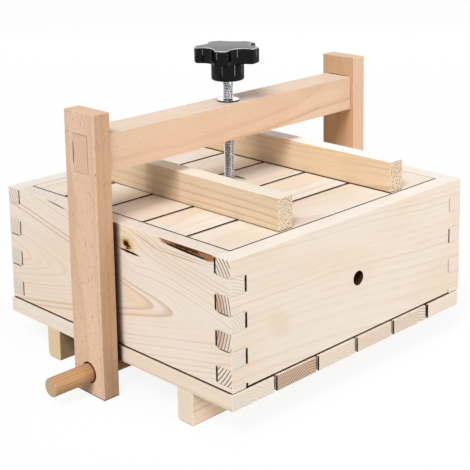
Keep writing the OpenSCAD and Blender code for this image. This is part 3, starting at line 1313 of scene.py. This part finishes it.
@dataclass
class StarKnob:
    """The black star knob: a five-lobed head on a round hub.

    turned is where one lobe points, in degrees from +X. valley is the radius of the
    round hollow between two lobes and valley_at how far its middle is from the axis.
    corner is how softly lobe and hollow meet, and fullness makes up for what that
    takes off. dome_rings are the shares of the star's size at which the top gets a
    ring of faces. bore_rim is the radius of the bore's wide mouth, inside and at the
    hub's foot, bore_step its depth, and neck the groove between the hub and the head.
    """

    node: str = "star_knob"
    lobes: int = 5
    turned: float = 69.9
    radius: float = 25.0 * MM
    valley: float = 12.3 * MM
    valley_at: float = 30.3 * MM
    hub: float = 12.5 * MM
    hub_height: float = 14.0 * MM
    head_height: float = 11.5 * MM
    dome: float = 1.2 * MM
    dome_rings: tuple[float, ...] = (0.96, 0.88, 0.76, 0.62, 0.46, 0.3, 0.14)
    round_top: float = 1.5 * MM
    round_low: float = 1.0 * MM
    round_steps: int = 5
    around: int = 240
    hub_around: int = 96
    corner: float = 1.3 * MM
    fullness: float = 0.10 * MM
    bore: float = 4.02 * MM
    bore_rim: tuple[float, float] = (5.2 * MM, 5.8 * MM)
    bore_step: float = 0.6 * MM
    hub_edge: float = 1.4 * MM
    neck: float = 0.5 * MM
    neck_ends: tuple[float, float] = (2.2 * MM, 1.2 * MM)
    overlap: float = 0.4 * MM
    finish: PlasticFinish = PlasticFinish()

    def reach(self, angle: float) -> float:
        """How far the head's side stands from the axis.

        Args:
            angle: the direction in radians.

        Returns:
            The distance in metres, with the lobes' corners rounded.
        """
        pitch = math.tau / self.lobes
        off = (angle - math.radians(self.turned)) % pitch - pitch / 2
        under = self.valley ** 2 - (self.valley_at * math.sin(off)) ** 2
        if under <= 0:
            hollow = self.valley_at * math.cos(off) + abs(
                self.valley_at * math.sin(off)) - self.valley
        else:
            hollow = self.valley_at * math.cos(off) - math.sqrt(under)
        soft = self.corner
        return -soft * math.log(math.exp(-hollow / soft)
                                + math.exp(-self.radius / soft)) + self.fullness

    def quarter(self, start: int) -> list[float]:
        """The angles of a rounded edge, from its first step to upright."""
        return [math.pi / 2 * k / self.round_steps
                for k in range(start, self.round_steps + 1)]

    def head(self, work: bmesh.types.BMesh, axis: Vector, base: float) -> None:
        """Raise the star head ring by ring, with rounded edges and a low dome.

        Args:
            work: the mesh.
            axis: a point on the knob's axis.
            base: the height of the head's underside.
        """
        made = bmesh.ops.create_circle(work, cap_ends=True, radius=self.radius,
                                       segments=self.around)
        for vert in made["verts"]:
            side = vert.co.xy.normalized()
            reach = self.reach(math.atan2(side.y, side.x)) - self.round_low
            vert.co = Vector((axis.x + side.x * reach, axis.y + side.y * reach, base))
        face = made["verts"][0].link_faces[0]
        top = self.head_height
        path = [(self.round_low * math.sin(a), self.round_low * (1 - math.cos(a)))
                for a in self.quarter(1)]
        path += [(self.round_low, top - self.round_top)]
        path += [(self.round_low - self.round_top * (1 - math.cos(a)),
                  top - self.round_top * (1 - math.sin(a))) for a in self.quarter(1)]
        before = 0.0
        for inset, height in path:
            face = self.raise_face(work, face, inset - before, base + height, axis)
            before = inset
        for share in self.dome_rings:
            face = self.draw_in(work, face, share, axis)
        for vert in work.verts:
            if vert.co.z > base + top / 2:
                out = (vert.co.xy - axis.xy).length / self.radius
                vert.co.z += self.dome * (1 - out * out)

    def raise_face(self, work: bmesh.types.BMesh, face: bmesh.types.BMFace,
                   grow: float, height: float, axis: Vector) -> bmesh.types.BMFace:
        """Extrude the head's top face to a height and grow it outwards.

        Args:
            work: the mesh.
            face: the top face.
            grow: how far its edge moves out, in metres.
            height: where it stands then.
            axis: a point on the knob's axis.

        Returns:
            The new top face.
        """
        made = bmesh.ops.extrude_discrete_faces(work, faces=[face])["faces"][0]
        for vert in made.verts:
            out = vert.co.xy - axis.xy
            vert.co.xy = axis.xy + out * ((out.length + grow) / out.length)
            vert.co.z = height
        return made

    def draw_in(self, work: bmesh.types.BMesh, face: bmesh.types.BMFace,
                share: float, axis: Vector) -> bmesh.types.BMFace:
        """Extrude the flat top face inwards.

        Args:
            work: the mesh.
            face: the top face.
            share: its new size as a share of the star's.
            axis: a point on the knob's axis.

        Returns:
            The new, smaller face.
        """
        made = bmesh.ops.extrude_discrete_faces(work, faces=[face])["faces"][0]
        for vert in made.verts:
            side = (vert.co.xy - axis.xy).normalized()
            star = self.reach(math.atan2(side.y, side.x)) - self.round_top
            vert.co.xy = axis.xy + side * (star * share)
        return made

    def turned_hub(self, work: bmesh.types.BMesh, axis: Vector, low: float) -> None:
        """Spin the hub, hollow at its foot where the rod enters.

        Args:
            work: the mesh.
            axis: a point on the knob's axis.
            low: the height of the hub's foot.
        """
        top = low + self.hub_height + self.overlap
        edge, side, waist = self.hub_edge, self.hub, self.hub - self.neck
        points = [(self.bore, low + self.bore_step),
                  (self.bore_rim[0], low + self.bore_step), (self.bore_rim[1], low)]
        points += [(side - edge * (1 - math.sin(a)), low + edge * (1 - math.cos(a)))
                   for a in self.quarter(0)]
        points += [(side, top - self.neck_ends[0]), (waist, top - self.neck_ends[1]),
                   (waist, top)]
        verts = [work.verts.new((axis.x + r, axis.y, z)) for r, z in points]
        edges = [work.edges.new(pair) for pair in zip(verts, verts[1:])]
        bmesh.ops.spin(work, geom=verts + edges, cent=(axis.x, axis.y, 0),
                       axis=(0, 0, 1), angle=math.tau, steps=self.hub_around,
                       use_merge=True)

    def build(self) -> bpy.types.Object:
        """Mould the knob, its axis in line with the rod's.

        Returns:
            The knob.
        """
        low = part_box(self.node)[0][2]
        axis = Shop.middle("screw_rod")
        work = bmesh.new()
        self.head(work, axis, low + self.hub_height)
        self.turned_hub(work, axis, low)
        return Shop.stand(work, "black_star_knob", Body.SCREW, "knob", (self.node,),
                          (self.finish.dress(),), 50.0, False)


@dataclass
class LockingDowel:
    """The turned dowel through the feet of the uprights."""

    node: str = "dowel"
    chamfer: float = 0.8 * MM
    segments: int = 64
    # sheltered: painted shade where another part stands close by, as under the floor.
    cut: Cut = Cut(Axis.X, Axis.Y, (3.0, -5.0), 0.004, 60.0,
                   end=EndGrain(0.7, dots=0.5), sheltered=True)

    def build(self) -> bpy.types.Object:
        """Turn the dowel.

        Returns:
            The dowel.
        """
        low, high = (Vector(c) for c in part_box(self.node))
        middle = Shop.middle(self.node)
        radius = (high.z - low.z) / 2
        work = bmesh.new()
        bmesh.ops.create_cone(
            work, cap_ends=True, segments=self.segments, radius1=radius,
            radius2=radius, depth=high.x - low.x,
            matrix=Matrix.Translation(middle) @ Matrix.Rotation(math.pi / 2, 4, "Y"))
        rims = [e for e in work.edges if abs(e.verts[0].co.x - e.verts[1].co.x) < NEAR]
        Shop.ease(work, rims, self.chamfer, 3)
        material = DOWEL_WOOD.dress("turned_dowel_wood", middle, self.cut)
        return Shop.stand(work, "locking_dowel", Body.DOWEL, "dowel", (self.node,),
                          (material,), 35.0)


@dataclass(frozen=True)
class Softbox:
    """A softbox that stands round the press, turned towards it.

    azimuth is in degrees from +X. away, the size (its width and height) and lift, the
    height of its lower edge, are in metres, and power is in watts.
    """

    name: str
    azimuth: float
    away: float
    size: tuple[float, float]
    power: float
    lift: float = 0.01


@dataclass
class Studio:
    """A pale floor, an even white surround, one soft lamp, softboxes and the camera."""

    place: Triple = (-0.6158, -0.62147, 0.38369)
    turn: Triple = (1.381292, 0.0218332, -0.7580985)
    lens: float = 90.567
    sensor: float = 36.0
    shift: tuple[float, float] = (0.07726, -0.35849)
    clip: tuple[float, float] = (0.01, 50.0)
    surround: float = 0.33
    lamp_from: Triple = (-0.56, -0.28, 0.78)
    lamp_power: float = 2.25
    lamp_spread: float = 26.0
    lamp_tint: Triple = (0.98, 1.0, 1.03)
    softboxes: tuple[Softbox, ...] = (
        Softbox("front_softbox", 276.0, 1.15, (0.04, 1.0), 5.2),
        Softbox("left_softbox", 186.0, 1.15, (0.05, 0.9), 2.1),
        Softbox("right_softbox", 342.0, 1.15, (0.03, 0.9), 1.6),
        Softbox("back_softbox", 45.0, 1.6, (1.6, 0.4), 2.6, 0.24))
    floor_size: float = 6.0
    floor_drop: float = 0.3 * MM
    floor_tone: Colour = (0.42, 0.42, 0.42, 1)
    floor_seen: Colour = (0.9, 0.9, 0.9, 1)
    floor_glow: float = 0.9

    @staticmethod
    def put(name: str, data: bpy.types.ID) -> bpy.types.Object:
        """Put a lamp, the camera or the floor into the scene.

        Args:
            name: its name.
            data: what it is.

        Returns:
            The object.
        """
        made = bpy.data.objects.new(name, data)
        bpy.context.scene.collection.objects.link(made)
        return made

    def lamp(self) -> None:
        """Hang the soft lamp that shines from the front left."""
        data = bpy.data.lights.new("key_lamp", "SUN")
        data.energy = self.lamp_power
        data.angle = math.radians(self.lamp_spread)
        data.color = self.lamp_tint
        made = self.put("key_lamp", data)
        made.rotation_euler = Vector(self.lamp_from).to_track_quat("Z", "Y").to_euler()

    def softbox(self, box: Softbox) -> None:
        """Stand one softbox round the press.

        Args:
            box: its size, its place and its power.
        """
        data = bpy.data.lights.new(box.name, "AREA")
        data.shape = "RECTANGLE"
        data.size, data.size_y = box.size
        data.energy = box.power
        made = self.put(box.name, data)
        turn = math.radians(box.azimuth)
        made.location = (box.away * math.cos(turn), box.away * math.sin(turn),
                         box.size[1] / 2 + box.lift)
        made.rotation_euler = (math.pi / 2, 0, turn + math.pi / 2)
        made.visible_camera = False

    def camera(self) -> None:
        """Stand the camera where the press is seen from its near corner."""
        data = bpy.data.cameras.new("camera")
        data.lens = self.lens
        data.sensor_width = self.sensor
        data.shift_x, data.shift_y = self.shift
        data.clip_start, data.clip_end = self.clip
        made = self.put("camera", data)
        made.location = self.place
        made.rotation_euler = self.turn
        bpy.context.scene.camera = made

    def air(self) -> None:
        """Set up the surround, white where it shows and dimmer where it only lights."""
        world = bpy.context.scene.world = bpy.data.worlds.new("surround")
        tree = ShaderTree(world)
        level = tree.out(tree.node("ShaderNodeMapRange", None, {
            "Value": tree.in_sight(), "To Min": self.surround, "To Max": 1.0}))
        ground = tree.node("ShaderNodeBackground", None,
                           {"Color": (1, 1, 1, 1), "Strength": level})
        tree.finish(tree.out(ground), "ShaderNodeOutputWorld")

    def floor(self) -> None:
        """Lay the pale floor, which keeps the shadow of the press."""
        work = bmesh.new()
        bmesh.ops.create_grid(work, x_segments=1, y_segments=1, size=self.floor_size,
                              matrix=Matrix.Translation((0, 0, -self.floor_drop)))
        mesh = bpy.data.meshes.new("pale_floor")
        work.to_mesh(mesh)
        work.free()
        self.put("pale_floor", mesh)
        tree = ShaderTree.material("pale_floor")
        shown = tree.in_sight()
        matt = tree.node("ShaderNodeBsdfDiffuse", None, {
            "Color": tree.blend(shown, self.floor_tone, self.floor_seen)})
        glow = tree.node("ShaderNodeEmission", None,
                         {"Color": (1, 1, 1, 1), "Strength": 1.0})
        mesh.materials.append(tree.finish(tree.out(tree.node(
            "ShaderNodeMixShader", None, {
                0: shown * self.floor_glow, 1: tree.out(matt), 2: tree.out(glow)}))))

    def build(self) -> None:
        """Set up the camera, the lights and the floor."""
        bpy.context.scene.view_settings.view_transform = "Standard"
        self.camera()
        self.air()
        self.lamp()
        for box in self.softboxes:
            self.softbox(box)
        self.floor()


def main() -> None:
    """Build the press piece by piece."""
    for section in (Studio, MouldBox, SlatFloor, SlatLid, PressFrame, Insert, Rod,
                    StarKnob, LockingDowel):
        section().build()


if __name__ == "__main__":
    main()
